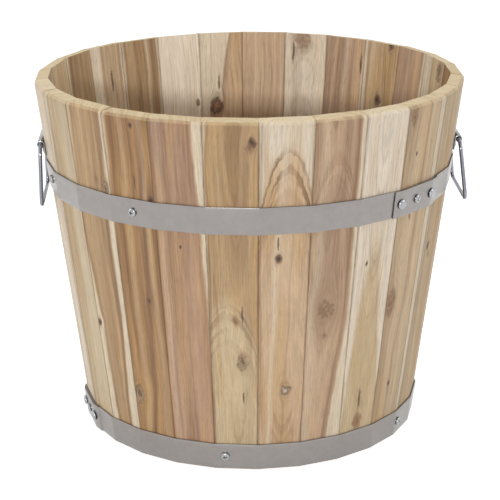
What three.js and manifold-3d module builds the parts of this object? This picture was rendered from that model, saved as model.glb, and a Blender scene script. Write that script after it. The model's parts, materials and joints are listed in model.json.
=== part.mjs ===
// Wooden barrel planter: tapered staves held by two riveted steel hoops, with a boarded base in a
// groove and a hinged wire handle on each side.
// Millimetres, +Z up. The origin is on the barrel's axis, in the plane that it stands on.
// The front is -Y. Angles round the barrel are in degrees from the front, positive towards +X.
import * as THREE from "three";
import { mergeVertices } from "three/addons/utils/BufferGeometryUtils.js";
import Module from "manifold-3d";

const wasm = await Module();
wasm.setup();

// ---------------------------------------------------------------- driving dimensions

// Barrel
const rimDiameter = 400; // across opposite staves' outer faces, at the top
const footDiameter = 315; // the same, where the barrel stands
const barrelHeight = 335; // to the outer top edge
const staveCount = 26;
const staveThickness = 13;
const staveJoint = 0.3; // open joint between neighbouring staves
const rimChamfer = 2.4; // on each stave's outer top edge

// Base
const baseHeight = 22; // underside of the boards, above the floor
const baseThickness = 12;
const baseBoardCount = 4;
const baseBoardJoint = 0.8;
const grooveDepth = 4; // how far the boards' groove is cut into the staves
const grooveClearance = 0.3; // over, under and beyond the boards' edge
const drainDiameter = 12;
const drainSpacing = 120; // between the two holes of a board

// Hoops
const hoopWidth = 25.4;
const hoopThickness = 1.2;
const lowerHoopTop = 26.4; // height of the hoop's top edge on the staves' faces
const upperLapJoint = 3; // the joint of two staves, counted from the front, with a lap's first rivet
const lowerLapJoint = -6;
const lapStep = 4.6; // length in which a hoop's outer end steps over its inner one
const lapClearance = 1.2; // between the inner end and that step
const lapGap = 0.2;
const seatGap = 0.3; // between a piece and the one that it is fastened to

// Rivets, two in each hoop's lap, on joints of the staves
const rivetShank = 4.8;
const rivetHead = 9.6;
const rivetHeadHeight = 2.3;
const rivetHeadRim = 0.4; // height of the straight edge under a head's dome
const rivetTail = 7.4;
const rivetTailHeight = 1.4;
const rivetEdge = 8.4; // from a hoop's end to the middle of the nearest rivet

// Screws
const hoopScrew = {
  head: 8,
  headHeight: 2.3,
  headRim: 0.9,
  shank: 4,
  length: 12,
  slotLength: 4.6,
  slotWidth: 1.1,
  slotDepth: 1.4,
};
const plateScrew = {
  head: 6.6,
  headHeight: 1.9,
  headRim: 0.7,
  shank: 3.4,
  length: 10,
  slotLength: 3.8,
  slotWidth: 0.9,
  slotDepth: 1.1,
};
const screwTip = 3; // length of a screw's point
const drillStart = 8; // how far outside a fastener's seat its drill starts
const holeClearance = 0.3; // round a shank, on the radius
const upperScrewAngles = [-76.15, -34.62, 117.69, -159.23]; // besides the one in the lap
const lowerScrewAngles = [-10.6, 57.5, 124.62, -145.38];

// Handles
const handleAngle = 90; // each side of the front
const pivotHeight = 273.5;
const wireDiameter = 4;
const boreClearance = 0.35; // round the wire in its knuckle, on the radius
const plateSheet = 1.2;
const plateWidth = 50;
const plateDrop = 11.2; // from the hinge axis to the plate's lower edge
const plateAboveHoop = 3.3; // the height left between that edge and the upper hoop
const knuckleTurn = 300; // how far the plate's top is rolled round the wire, in degrees
const plateScrewSpacing = 32;
const plateScrewDrop = 7.4; // below the hinge axis
const bailDrop = 55; // from the hinge axis to the middle of the grip
const gripWidth = 83; // between the middles of the bail's legs, at the grip
const shoulderRadius = 9;
const gripCornerRadius = 7;
const bailEndPlay = 0.8; // between the plate's end and the bend of the wire
const wireEndGap = 1.5; // between the wire's two ends, inside the knuckle
const leftSwing = 0; // how far a bail stands out from hanging straight down, in degrees
const rightSwing = 6;

// Fineness of round forms
const shankSides = 12;
const headSides = 16;
const domeSteps = 3;
const baseSides = 52;
const wireSides = 10;
const bendSteps = 5;
const knuckleSteps = 20;

// ---------------------------------------------------------------- derived values

const radians = THREE.MathUtils.degToRad;
const degrees = THREE.MathUtils.radToDeg;
const pitch = 360 / staveCount;
const halfPitch = radians(pitch / 2);
const lean = Math.atan((rimDiameter - footDiameter) / 2 / barrelHeight);
const upperHoopTop = pivotHeight - plateDrop - plateAboveHoop;
const hoopSeat = seatGap + hoopThickness; // from the staves to the hoop's outer face
const lapSeat = hoopSeat + lapGap + hoopThickness; // the same, over a lap
const plateSeat = seatGap + plateSheet;
const knuckleInner = wireDiameter / 2 + boreClearance;
const knuckleOuter = knuckleInner + plateSheet;

// Distance from the axis to the middle of a stave's outer or inner face.
function outerFace(z) {
  return footDiameter / 2 + z * Math.tan(lean);
}

function innerFace(z) {
  return outerFace(z) - staveThickness / Math.cos(lean);
}

// ---------------------------------------------------------------- materials

function material(color, roughness, metalness) {
  return new THREE.MeshStandardMaterial({ color, roughness, metalness });
}

const woods = {
  cream: material(0xd9c3a5, 0.62, 0),
  tan: material(0xbd9c76, 0.62, 0),
  rose: material(0xb89a82, 0.62, 0),
  brown: material(0x9c7a5b, 0.62, 0),
};
const hoopSteel = material(0x9c9a96, 0.42, 0.9);
const zincSteel = material(0xb9bbbd, 0.3, 1);

// The colour of each stave, from the one just right of the front's middle, towards +X.
const staveTones = [
  "cream", "rose", "cream", "tan", "tan", "tan", "brown",
  "tan", "brown", "tan", "tan", "rose", "tan", "rose",
  "brown", "cream", "brown", "tan", "brown", "tan", "tan",
  "tan", "brown", "brown", "rose", "tan",
];

// ---------------------------------------------------------------- solids

// A closed geometry through rings of points, each ring running the same way round, with flat ends.
function loft(rings) {
  const sides = rings[0].length;
  const last = (rings.length - 1) * sides;
  const faces = [];
  for (let ring = 0; ring < last; ring += sides) {
    for (let side = 0; side < sides; side += 1) {
      const a = ring + side;
      const b = ring + ((side + 1) % sides);
      faces.push(a, b, b + sides);
      faces.push(a, b + sides, a + sides);
    }
  }
  for (let side = 1; side < sides - 1; side += 1) {
    faces.push(0, side + 1, side);
    faces.push(last, last + side, last + side + 1);
  }
  const geometry = new THREE.BufferGeometry();
  geometry.setFromPoints(rings.flat());
  geometry.setIndex(faces);
  return geometry;
}

function toSolid(geometry, matrix) {
  const bare = new THREE.BufferGeometry();
  bare.setAttribute("position", geometry.getAttribute("position").clone());
  bare.setIndex(geometry.index);
  bare.applyMatrix4(matrix);
  const merged = mergeVertices(bare, 1e-4);
  return new wasm.Manifold(
    new wasm.Mesh({
      numProp: 3,
      vertProperties: merged.getAttribute("position").array,
      triVerts: new Uint32Array(merged.index.array),
    }),
  );
}

function toGeometry(solid) {
  const mesh = solid.getMesh();
  const geometry = new THREE.BufferGeometry();
  geometry.setAttribute("position", new THREE.BufferAttribute(mesh.vertProperties, 3));
  geometry.setIndex(new THREE.BufferAttribute(mesh.triVerts, 1));
  geometry.computeVertexNormals();
  return geometry;
}

// A shape to cut with, in its place in the planter.
function tool(parent, geometry, placed = new THREE.Matrix4()) {
  parent.updateWorldMatrix(true, false);
  return { geometry, matrix: new THREE.Matrix4().multiplyMatrices(parent.matrixWorld, placed) };
}

// Cuts every tool out of a mesh.
function cut(mesh, tools) {
  mesh.updateWorldMatrix(true, false);
  const toLocal = mesh.matrixWorld.clone().invert();
  let solid = toSolid(mesh.geometry, new THREE.Matrix4());
  for (const { geometry, matrix } of tools) {
    const placed = new THREE.Matrix4().multiplyMatrices(toLocal, matrix);
    solid = solid.subtract(toSolid(geometry, placed));
  }
  mesh.geometry = toGeometry(solid);
}

// A round solid about +Z from [radius, height] points, which start and end on the axis.
function turned(profile, sides) {
  const points = profile.map(([radius, height]) => new THREE.Vector2(radius, height));
  const geometry = new THREE.LatheGeometry(points, sides);
  geometry.rotateX(Math.PI / 2);
  return geometry;
}

function peg(radius, bottom, top, sides) {
  return turned([[0, bottom], [radius, bottom], [radius, top], [0, top]], sides);
}

// ---------------------------------------------------------------- places on the barrel

const planter = new THREE.Group();

function add(parent, name, geometry, finish) {
  const mesh = new THREE.Mesh(geometry, finish);
  mesh.name = name;
  parent.add(mesh);
  return mesh;
}

// A group on the barrel's axis whose own +X points out of the barrel at an angle from the front.
function turnedTo(angle) {
  const group = new THREE.Group();
  group.rotation.z = radians(angle - 90);
  planter.add(group);
  return group;
}

function isJoint(angle) {
  return Math.abs(angle / pitch - Math.round(angle / pitch)) < 1e-6;
}

// A group whose own +Z points straight out of the staves and +X down them, at a height on their
// faces and an angle, as far from the wood as lift says. On a joint it stands on the ridge between
// two staves, and anywhere else on one stave's face.
function onWall(angle, z, lift) {
  const middle = isJoint(angle) ? angle : (Math.floor(angle / pitch) + 0.5) * pitch;
  const surface = isJoint(angle) ? outerFace(z) / Math.cos(halfPitch) : outerFace(z);
  const aside = outerFace(z) * Math.tan(radians(angle - middle));
  const seat = new THREE.Group();
  seat.position.set(surface + lift * Math.cos(lean), aside, z - lift * Math.sin(lean));
  seat.rotation.y = Math.PI / 2 + lean;
  turnedTo(middle).add(seat);
  return seat;
}

// ---------------------------------------------------------------- staves

// A stave's section along its length: X is the distance from the axis, Y the height.
function staveProfile() {
  const alongX = Math.sin(lean);
  const alongY = Math.cos(lean);
  const rim = rimDiameter / 2;
  const grooveTop = baseHeight + baseThickness + grooveClearance;
  const grooveBottom = baseHeight - grooveClearance;
  const grooveFace = innerFace(baseHeight) + grooveDepth;
  const profile = new THREE.Shape();
  profile.moveTo(outerFace(0), 0);
  profile.lineTo(rim - rimChamfer * alongX, barrelHeight - rimChamfer * alongY);
  profile.lineTo(rim - rimChamfer * alongY, barrelHeight + rimChamfer * alongX);
  profile.lineTo(rim - staveThickness * alongY, barrelHeight + staveThickness * alongX);
  profile.lineTo(innerFace(grooveTop), grooveTop);
  profile.lineTo(grooveFace, grooveTop);
  profile.lineTo(grooveFace, grooveBottom);
  profile.lineTo(innerFace(grooveBottom), grooveBottom);
  profile.lineTo(innerFace(0), 0);
  profile.closePath();
  return profile;
}

// A stave's sides lie along the joints, so it is wider where it is further from the axis.
function staveGeometry() {
  const geometry = new THREE.ExtrudeGeometry(staveProfile(), { depth: 1, bevelEnabled: false });
  const place = geometry.getAttribute("position");
  const backOff = staveJoint / 2 / Math.cos(halfPitch);
  for (let i = 0; i < place.count; i += 1) {
    const radius = place.getX(i);
    const halfWidth = radius * Math.tan(halfPitch) - backOff;
    const side = place.getZ(i) > 0.5 ? -1 : 1;
    place.setXYZ(i, radius, side * halfWidth, place.getY(i));
  }
  geometry.computeVertexNormals();
  return geometry;
}

function addStaves() {
  return Array.from({ length: staveCount }, (_, k) => {
    const name = "stave_" + String(k + 1).padStart(2, "0");
    const tone = woods[staveTones[k % staveTones.length]];
    return add(turnedTo((k + 0.5) * pitch), name, staveGeometry(), tone);
  });
}

// ---------------------------------------------------------------- base

// The base is a round of boards that lie along Y. All but the outermost boards have drain holes.
function addBase() {
  const radius = innerFace(baseHeight) + grooveDepth - grooveClearance;
  const boardWidth = (2 * radius) / baseBoardCount;
  for (let i = 0; i < baseBoardCount; i += 1) {
    const middle = (i + 0.5) * boardWidth - radius;
    const round = peg(radius, 0, baseThickness, baseSides);
    const board = add(planter, "base_board_" + (i + 1), round, woods.brown);
    board.position.z = baseHeight;
    const neighbours = [-1, 1].filter((side) => Math.abs(middle + side * boardWidth) < radius);
    const waste = neighbours.map((side) => {
      const beside = new THREE.BoxGeometry(2 * radius, 3 * radius, 3 * baseThickness);
      const offset = middle + side * (boardWidth / 2 - baseBoardJoint / 2 + radius);
      return tool(board, beside, new THREE.Matrix4().makeTranslation(offset, 0, 0));
    });
    const isWhole = neighbours.length === 2;
    const drains = (isWhole ? [-1, 1] : []).map((side) => {
      const hole = peg(drainDiameter / 2, -baseThickness, 2 * baseThickness, headSides);
      const place = new THREE.Matrix4().makeTranslation(middle, (side * drainSpacing) / 2, 0);
      return tool(board, hole, place);
    });
    cut(board, [...waste, ...drains]);
  }
}

// ---------------------------------------------------------------- hoops

// The four corners of a hoop's section at an angle, its inner face as far from the wood as seat says.
function hoopRing(top, angle, seat) {
  const middle = (Math.floor(angle / pitch + 1e-6) + 0.5) * pitch;
  const across = Math.cos(radians(angle - middle));
  const turn = radians(angle);
  const corners = [[hoopWidth, seat], [hoopWidth, seat + hoopThickness]];
  corners.push([0, seat + hoopThickness], [0, seat]);
  return corners.map(([down, out]) => {
    const face = outerFace(top) - down * Math.sin(lean) + out * Math.cos(lean);
    const radius = face / across;
    const z = top - down * Math.cos(lean) - out * Math.sin(lean);
    return new THREE.Vector3(radius * Math.sin(turn), -radius * Math.cos(turn), z);
  });
}

function hoopMiddle(top) {
  return top - (hoopWidth / 2) * Math.cos(lean);
}

// The turn that a length takes round the barrel, at a hoop.
function turnOf(length, top) {
  return degrees(length / outerFace(hoopMiddle(top)));
}

// A strip that is bent at every joint. It starts at its inner end, goes once round on the wood and
// laps over its start.
function hoopGeometry(top, lapJoint) {
  const edge = turnOf(rivetEdge, top);
  const innerEnd = (lapJoint + 1) * pitch + edge;
  const outerEnd = lapJoint * pitch - edge - 360;
  const stepHead = innerEnd + turnOf(lapClearance, top) - 360;
  const stepFoot = stepHead + turnOf(lapStep, top);
  const overSeat = hoopSeat + lapGap;
  const bends = (from, to, seat) => {
    const rings = [];
    for (let k = Math.ceil(from / pitch) - 1; k * pitch > to; k -= 1) {
      rings.push(hoopRing(top, k * pitch, seat));
    }
    return rings;
  };
  return loft([
    hoopRing(top, innerEnd, seatGap),
    ...bends(innerEnd, stepFoot, seatGap),
    hoopRing(top, stepFoot, seatGap),
    hoopRing(top, stepHead, overSeat),
    ...bends(stepHead, outerEnd, overSeat),
    hoopRing(top, outerEnd, overSeat),
  ]);
}

// ---------------------------------------------------------------- fasteners

// A fastener's head stands on z = 0 and its shank runs down from there.
// These are the points of a domed head's outline, from its edge to its top.
function headOutline(diameter, rim, height) {
  const outline = [[diameter / 2, 0]];
  for (let step = 0; step < domeSteps; step += 1) {
    const turn = ((Math.PI / 2) * step) / domeSteps;
    outline.push([(diameter / 2) * Math.cos(turn), rim + (height - rim) * Math.sin(turn)]);
  }
  outline.push([0, height]);
  return outline;
}

// A rivet's tail lies under a bend of the hoop, clear of the bend's two sides.
const rivetReach = lapSeat + seatGap + (rivetTail / 2) * Math.tan(halfPitch);

function rivetGeometry() {
  const tail = [
    [0, -rivetReach - rivetTailHeight],
    [rivetTail / 2, -rivetReach - rivetTailHeight],
    [rivetTail / 2, -rivetReach],
    [rivetShank / 2, -rivetReach],
    [rivetShank / 2, 0],
  ];
  return turned([...tail, ...headOutline(rivetHead, rivetHeadRim, rivetHeadHeight)], headSides);
}

// Adds a screw with a cross slot, and returns the tool that drills for it.
function addScrew(seat, name, screw) {
  const shank = [[0, -screw.length], [screw.shank / 2, screwTip - screw.length], [screw.shank / 2, 0]];
  const head = headOutline(screw.head, screw.headRim, screw.headHeight);
  const mesh = add(seat, name, turned([...shank, ...head], headSides), zincSteel);
  const slots = [0, Math.PI / 2].map((turn) => {
    const slot = new THREE.BoxGeometry(screw.slotLength, screw.slotWidth, 2 * screw.slotDepth);
    const placed = new THREE.Matrix4().makeRotationZ(turn);
    return tool(seat, slot, placed.setPosition(0, 0, screw.headHeight));
  });
  cut(mesh, slots);
  return drill(seat, screw.shank / 2 + holeClearance, screw.length + holeClearance);
}

function drill(seat, radius, depth) {
  return tool(seat, peg(radius, -depth, drillStart, shankSides));
}

// Adds a hoop with its rivets and screws, drills the hoop, and returns the tools for the wood.
function addHoop(name, top, lapJoint, screwAngles) {
  const hoop = add(planter, name, hoopGeometry(top, lapJoint), hoopSteel);
  const rivetSeats = [0, 1].map((next, i) => {
    const seat = onWall((lapJoint + next) * pitch, hoopMiddle(top), lapSeat + seatGap);
    add(seat, name + "_rivet_" + (i + 1), rivetGeometry(), zincSteel);
    return seat;
  });
  const screwTools = [(lapJoint + 0.5) * pitch, ...screwAngles].map((angle, i) => {
    const seat = onWall(angle, hoopMiddle(top), (i === 0 ? lapSeat : hoopSeat) + seatGap);
    return addScrew(seat, name + "_screw_" + (i + 1), hoopScrew);
  });
  const throughHoop = rivetSeats.map((seat) => {
    return drill(seat, rivetShank / 2 + holeClearance, lapSeat + seatGap);
  });
  cut(hoop, [...screwTools, ...throughHoop]);
  const pockets = rivetSeats.map((seat) => {
    const depth = rivetReach + rivetTailHeight + holeClearance;
    return drill(seat, rivetTail / 2 + holeClearance, depth);
  });
  return [...screwTools, ...pockets];
}

// ---------------------------------------------------------------- handles

// The plate's section, across the hinge: X is away from the wood and Y up it, and the hinge axis is
// the origin. The top of the plate is rolled outwards round the wire.
function plateShape() {
  const end = Math.PI - radians(knuckleTurn);
  const shape = new THREE.Shape();
  shape.moveTo(-knuckleInner, -plateDrop);
  shape.lineTo(-knuckleInner, 0);
  shape.absarc(0, 0, knuckleInner, Math.PI, end, true);
  shape.absarc(0, 0, knuckleOuter, end, Math.PI, false);
  shape.lineTo(-knuckleOuter, -plateDrop);
  shape.closePath();
  return shape;
}

// The points of a line whose inner corners are rounded, each with its own radius.
function roundedLine(corners, radii) {
  const points = [corners[0]];
  radii.forEach((radius, i) => {
    const corner = corners[i + 1];
    const back = corners[i].clone().sub(corner).normalize();
    const ahead = corners[i + 2].clone().sub(corner).normalize();
    const half = back.angleTo(ahead) / 2;
    const inward = back.clone().add(ahead).normalize();
    const middle = corner.clone().addScaledVector(inward, radius / Math.sin(half));
    const spoke = corner.clone().addScaledVector(back, radius / Math.tan(half)).sub(middle);
    const axis = ahead.clone().cross(back).normalize();
    for (let step = 0; step <= bendSteps; step += 1) {
      const turn = ((Math.PI - 2 * half) * step) / bendSteps;
      points.push(spoke.clone().applyAxisAngle(axis, turn).add(middle));
    }
  });
  points.push(corners[corners.length - 1]);
  return points;
}

// Round wire along points that lie in the plane x = 0.
function wireGeometry(points) {
  const outwards = new THREE.Vector3(1, 0, 0);
  const rings = points.map((point, i) => {
    const before = points[Math.max(i - 1, 0)];
    const after = points[Math.min(i + 1, points.length - 1)];
    const sideways = after.clone().sub(before).cross(outwards).normalize();
    return Array.from({ length: wireSides }, (_, s) => {
      const turn = (2 * Math.PI * (s + 0.5)) / wireSides;
      const ringPoint = point.clone().addScaledVector(outwards, (wireDiameter / 2) * Math.cos(turn));
      return ringPoint.addScaledVector(sideways, (wireDiameter / 2) * Math.sin(turn));
    });
  });
  return loft(rings);
}

// The bail hangs straight down from its hinge axis, which is the Y axis. Its legs spread a little.
function bailGeometry() {
  const straightEnd = plateWidth / 2 + bailEndPlay;
  const gripHalf = gripWidth / 2;
  const spread = Math.atan((gripHalf - straightEnd - shoulderRadius) / bailDrop);
  const topHalf = straightEnd + shoulderRadius * Math.tan(Math.PI / 4 - spread / 2);
  const half = [[wireEndGap / 2, 0], [topHalf, 0], [gripHalf, -bailDrop]];
  const otherHalf = half.map(([y, z]) => [-y, z]).reverse();
  const corners = [...half, ...otherHalf].map(([y, z]) => new THREE.Vector3(0, y, z));
  const radii = [shoulderRadius, gripCornerRadius, gripCornerRadius, shoulderRadius];
  return wireGeometry(roundedLine(corners, radii));
}

// Adds a plate, its screws and its bail, and returns the tools for the wood.
function addHandle(side, angle, swing) {
  const axisLift = seatGap + knuckleOuter;
  const wallHeight = pivotHeight + axisLift * Math.sin(lean);
  const hinge = onWall(angle, wallHeight, axisLift);

  const rolled = new THREE.ExtrudeGeometry(plateShape(), {
    depth: plateWidth,
    bevelEnabled: false,
    curveSegments: knuckleSteps,
  });
  rolled.translate(0, 0, -plateWidth / 2);
  const plate = add(hinge, side + "_handle_plate", rolled, zincSteel);
  const outwards = new THREE.Vector3(0, 0, 1);
  const upTheWall = new THREE.Vector3(-1, 0, 0);
  const alongHinge = new THREE.Vector3(0, -1, 0);
  plate.setRotationFromMatrix(new THREE.Matrix4().makeBasis(outwards, upTheWall, alongHinge));

  const screwHeight = wallHeight - plateScrewDrop * Math.cos(lean);
  const tools = [-1, 1].map((hand, i) => {
    const seat = onWall(angle, screwHeight, plateSeat + seatGap);
    seat.position.y = (hand * plateScrewSpacing) / 2;
    return addScrew(seat, side + "_plate_screw_" + (i + 1), plateScrew);
  });
  cut(plate, tools);

  const upright = turnedTo(angle);
  hinge.updateWorldMatrix(true, false);
  upright.position.setFromMatrixPosition(hinge.matrixWorld);
  const bail = add(upright, side + "_handle_bail", bailGeometry(), zincSteel);
  bail.rotation.y = -radians(swing);
  return tools;
}

// ---------------------------------------------------------------- assembly

const staves = addStaves();
addBase();
const woodTools = [
  ...addHoop("upper_hoop", upperHoopTop, upperLapJoint, upperScrewAngles),
  ...addHoop("lower_hoop", lowerHoopTop, lowerLapJoint, lowerScrewAngles),
  ...addHandle("left", -handleAngle, leftSwing),
  ...addHandle("right", handleAngle, rightSwing),
];
staves.forEach((stave) => cut(stave, woodTools));

export default planter;
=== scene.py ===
import json
import math
import random

import bmesh
import bpy
from mathutils import Matrix, Vector, noise


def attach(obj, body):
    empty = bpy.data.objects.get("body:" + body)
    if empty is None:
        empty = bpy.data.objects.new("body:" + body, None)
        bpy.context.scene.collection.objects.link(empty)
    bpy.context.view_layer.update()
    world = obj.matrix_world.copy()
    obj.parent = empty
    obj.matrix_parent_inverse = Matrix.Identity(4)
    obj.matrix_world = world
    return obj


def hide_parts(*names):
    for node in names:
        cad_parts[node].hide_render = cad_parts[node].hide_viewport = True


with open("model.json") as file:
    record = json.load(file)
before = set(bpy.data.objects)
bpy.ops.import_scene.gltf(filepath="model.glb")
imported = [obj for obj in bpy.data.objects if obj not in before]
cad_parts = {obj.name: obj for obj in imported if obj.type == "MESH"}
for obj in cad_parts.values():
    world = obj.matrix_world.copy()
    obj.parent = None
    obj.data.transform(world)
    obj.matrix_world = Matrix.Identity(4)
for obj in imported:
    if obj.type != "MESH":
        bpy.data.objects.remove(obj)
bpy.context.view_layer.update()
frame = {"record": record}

MM = 0.001
SLOTS = {part["node"]: part["material_slot"] for part in frame["record"]["subparts"]}

# ---- sizes, in metres, as in the CAD model

RIM_RADIUS = 0.200
FOOT_RADIUS = 0.1575
BARREL_HEIGHT = 0.335
STAVE_COUNT = 26
STAVE_THICKNESS = 0.013
RIM_CHAMFER = 0.0024
BASE_HEIGHT = 0.022
BASE_THICKNESS = 0.012
GROOVE_DEPTH = 0.004
GROOVE_CLEARANCE = 0.0003
BOARD_COUNT = 4
BOARD_JOINT = 0.0008
DRAIN_RADIUS = 0.006
DRAIN_SPACING = 0.120

HOOP_WIDTH = 0.0254
HOOP_THICKNESS = 0.0012
UPPER_HOOP_TOP = 0.259
LOWER_HOOP_TOP = 0.0264
UPPER_LAP_JOINT = 3
LOWER_LAP_JOINT = -6
LAP_STEP = 0.0046
LAP_CLEARANCE = 0.0012
LAP_GAP = 0.0002
SEAT_GAP = 0.0003
RIVET_EDGE = 0.0084
UPPER_SCREW_ANGLES = (-76.15, -34.62, 117.69, -159.23)
LOWER_SCREW_ANGLES = (-10.6, 57.5, 124.62, -145.38)

PIVOT_HEIGHT = 0.2735
WIRE_RADIUS = 0.002
BORE_CLEARANCE = 0.00035
PLATE_SHEET = 0.0012
PLATE_WIDTH = 0.050
PLATE_DROP = 0.0112
KNUCKLE_TURN = math.radians(300)
PLATE_SCREW_SPACING = 0.032
PLATE_SCREW_DROP = 0.0074
BAIL_DROP = 0.055
GRIP_WIDTH = 0.083
SHOULDER_RADIUS = 0.009
GRIP_CORNER_RADIUS = 0.007
BAIL_END_PLAY = 0.0008
WIRE_END_GAP = 0.0015
SWINGS = {"left": 0.0, "right": 6.0}

PITCH = 360 / STAVE_COUNT
HALF_PITCH = math.radians(PITCH / 2)
LEAN = math.atan((RIM_RADIUS - FOOT_RADIUS) / BARREL_HEIGHT)
HOOP_SEAT = SEAT_GAP + HOOP_THICKNESS
LAP_SEAT = HOOP_SEAT + LAP_GAP + HOOP_THICKNESS
KNUCKLE_INNER = WIRE_RADIUS + BORE_CLEARANCE
KNUCKLE_OUTER = KNUCKLE_INNER + PLATE_SHEET


def outer_face(z):
    return FOOT_RADIUS + z * math.tan(LEAN)


def inner_face(z):
    return outer_face(z) - STAVE_THICKNESS / math.cos(LEAN)


# ---- node trees


def linear(code):
    """A colour written as 0xRRGGBB on a screen, as shaders take it."""
    channels = [(code >> shift & 255) / 255 for shift in (16, 8, 0)]
    return tuple(c / 12.92 if c <= 0.04045 else ((c + 0.055) / 1.055) ** 2.4 for c in channels) + (1,)


class Value:
    """What one output of a node gives, which can be written in sums."""

    def __init__(self, tree, socket):
        self.tree, self.socket = tree, socket

    def __add__(self, other):
        return self.tree.sum("ADD", self, other)

    def __sub__(self, other):
        return self.tree.sum("SUBTRACT", self, other)

    def __rsub__(self, other):
        return self.tree.sum("SUBTRACT", other, self)

    def __mul__(self, other):
        return self.tree.sum("MULTIPLY", self, other)

    def __abs__(self):
        return self.tree.sum("ABSOLUTE", self)


class Tree:
    """The node tree of a material or of the world."""

    def __init__(self, owner):
        owner.use_nodes = True
        self.owner, self.nodes, self.links = owner, owner.node_tree.nodes, owner.node_tree.links
        self.nodes.clear()

    def node(self, kind, inputs, output=0, **settings):
        """Adds a node and gives one of its outputs."""
        node = self.nodes.new("ShaderNode" + kind)
        for key, value in settings.items():
            setattr(node, key, value)
        for key, value in inputs.items():
            if isinstance(value, Value):
                self.links.new(value.socket, node.inputs[key])
            else:
                node.inputs[key].default_value = value
        return Value(self, node.outputs[output])

    def sum(self, operation, *values):
        return self.node("Math", dict(enumerate(values)), operation=operation)

    def ramp(self, value, low, high, start=0.0, end=1.0):
        """Runs smoothly from start to end while value goes from low to high."""
        if low > high:
            low, high, start, end = high, low, end, start
        inputs = {"Value": value, "From Min": low, "From Max": high, "To Min": start, "To Max": end}
        return self.node("MapRange", inputs, "Result", interpolation_type="SMOOTHSTEP")

    def length(self, a, b):
        return self.sum("SQRT", a * a + b * b)

    def vector(self, x, y, z):
        return self.node("CombineXYZ", {"X": x, "Y": y, "Z": z})

    def noise(self, vector, scale=1.0, detail=2.0, rough=0.5):
        inputs = {"Vector": vector, "Scale": scale, "Detail": detail, "Roughness": rough}
        return self.node("TexNoise", inputs, "Fac")

    def mix(self, amount, a, b):
        """The colour a, and b where amount is 1."""
        return self.node("Mix", {0: amount, 6: a, 7: b}, 2, data_type="RGBA")

    def scaled(self, vector, size):
        return self.node("VectorMath", {0: vector, 3: size}, operation="SCALE")

    def place(self):
        """X, Y and Z of the piece's own coordinates, in millimetres."""
        own = self.scaled(self.node("TexCoord", {}, "Object"), 1 / MM)
        return [self.node("SeparateXYZ", {0: own}, axis) for axis in "XYZ"]

    def seen_rays(self):
        """1 for the rays that see the background, straight or in metal."""
        total = self.node("LightPath", {}, "Is Camera Ray")
        for name in ("Is Glossy Ray", "Is Transmission Ray"):
            total = self.sum("MAXIMUM", total, self.node("LightPath", {}, name))
        return total

    def end(self, shader, kind="OutputMaterial"):
        """Joins a shader to the output, and gives the material or the world."""
        output = self.nodes.new("ShaderNode" + kind)
        self.links.new(shader.socket, output.inputs["Surface"])
        return self.owner

    def finish(self, surface, height, strength, distance):
        """Gives the material of a surface with a relief."""
        relief = self.node("Bump", {"Height": height, "Strength": strength, "Distance": distance})
        return self.end(self.node("BsdfPrincipled", {**surface, "Normal": relief}))


# ---- camera and studio

CAMERA_PLACE = (-0.06297, -1.58318, 0.67613)
CAMERA_LENS = 123.495
SENSOR_WIDTH = 36
CAMERA_PITCH = 0.31563
CAMERA_ROLL = -0.00417
FAR_CLIP = 50

LAMP_AIM = (0, 0, 0.2)
# Each lamp's place, size and power.
LAMPS = {
    "key": ((-1.36, -7.90, 1.90), (1.6, 0.55), 300.0),
    "top": ((0, 0.1, 2.5), (0.9, 0.9), 21.0),
    "left": ((-2.1, -0.3, 1.0), (1.4, 1.6), 12.0),
    "right": ((2.1, -0.3, 1.0), (1.4, 1.6), 12.0),
}
WHITE = (1, 1, 1, 1)
WORLD_LEVEL = 0.28
FLOOR_SIDE = 6.0
FLOOR_DROP = 0.0004
FLOOR_PAINT = (0.8, 0.8, 0.8, 1)
FLOOR_GLOW = (0.75, 0.75, 0.75, 1)


def add_object(name, data):
    thing = bpy.data.objects.new(name, data)
    bpy.context.scene.collection.objects.link(thing)
    return thing


def add_camera():
    data = bpy.data.cameras.new("camera")
    data.lens = CAMERA_LENS
    data.sensor_width = SENSOR_WIDTH
    data.clip_end = FAR_CLIP
    camera = add_object("camera", data)
    turn = math.atan2(CAMERA_PLACE[0], -CAMERA_PLACE[1])
    look = Matrix.Rotation(turn, 4, "Z") @ Matrix.Rotation(math.pi / 2 - CAMERA_PITCH, 4, "X")
    look = look @ Matrix.Rotation(CAMERA_ROLL, 4, "Z")
    camera.matrix_world = Matrix.Translation(CAMERA_PLACE) @ look
    bpy.context.scene.camera = camera


def add_lamp(name, place, size, power):
    data = bpy.data.lights.new(name, "AREA")
    data.shape = "RECTANGLE"
    data.size, data.size_y = size
    data.energy = power
    away = Vector(place) - Vector(LAMP_AIM)
    turn = away.to_track_quat("Z", "Y").to_matrix().to_4x4()
    add_object(name, data).matrix_world = Matrix.Translation(place) @ turn


def add_studio():
    scene = bpy.context.scene
    scene.view_settings.view_transform = "Standard"
    world = Tree(bpy.data.worlds.new("studio"))
    ambient = world.node("Background", {"Color": WHITE, "Strength": WORLD_LEVEL})
    seen = world.node("Background", {"Color": WHITE})
    both = world.node("MixShader", {0: world.seen_rays(), 1: ambient, 2: seen})
    scene.world = world.end(both, "OutputWorld")
    for name, (place, size, power) in LAMPS.items():
        add_lamp(name, place, size, power)


def add_floor():
    """A pale floor that takes shadows and looks white."""
    tree = Tree(bpy.data.materials.new("floor"))
    paint = tree.node("BsdfDiffuse", {"Color": FLOOR_PAINT})
    glow = tree.node("Emission", {"Color": FLOOR_GLOW, "Strength": tree.seen_rays()})
    mesh = bpy.data.meshes.new("floor")
    side = FLOOR_SIDE / 2
    corners = [(-side, -side, 0), (side, -side, 0), (side, side, 0), (-side, side, 0)]
    mesh.from_pydata(corners, [], [(0, 1, 2, 3)])
    mesh.materials.append(tree.end(tree.node("AddShader", {0: paint, 1: glow})))
    floor = add_object("floor", mesh)
    floor.location.z = -FLOOR_DROP


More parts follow.
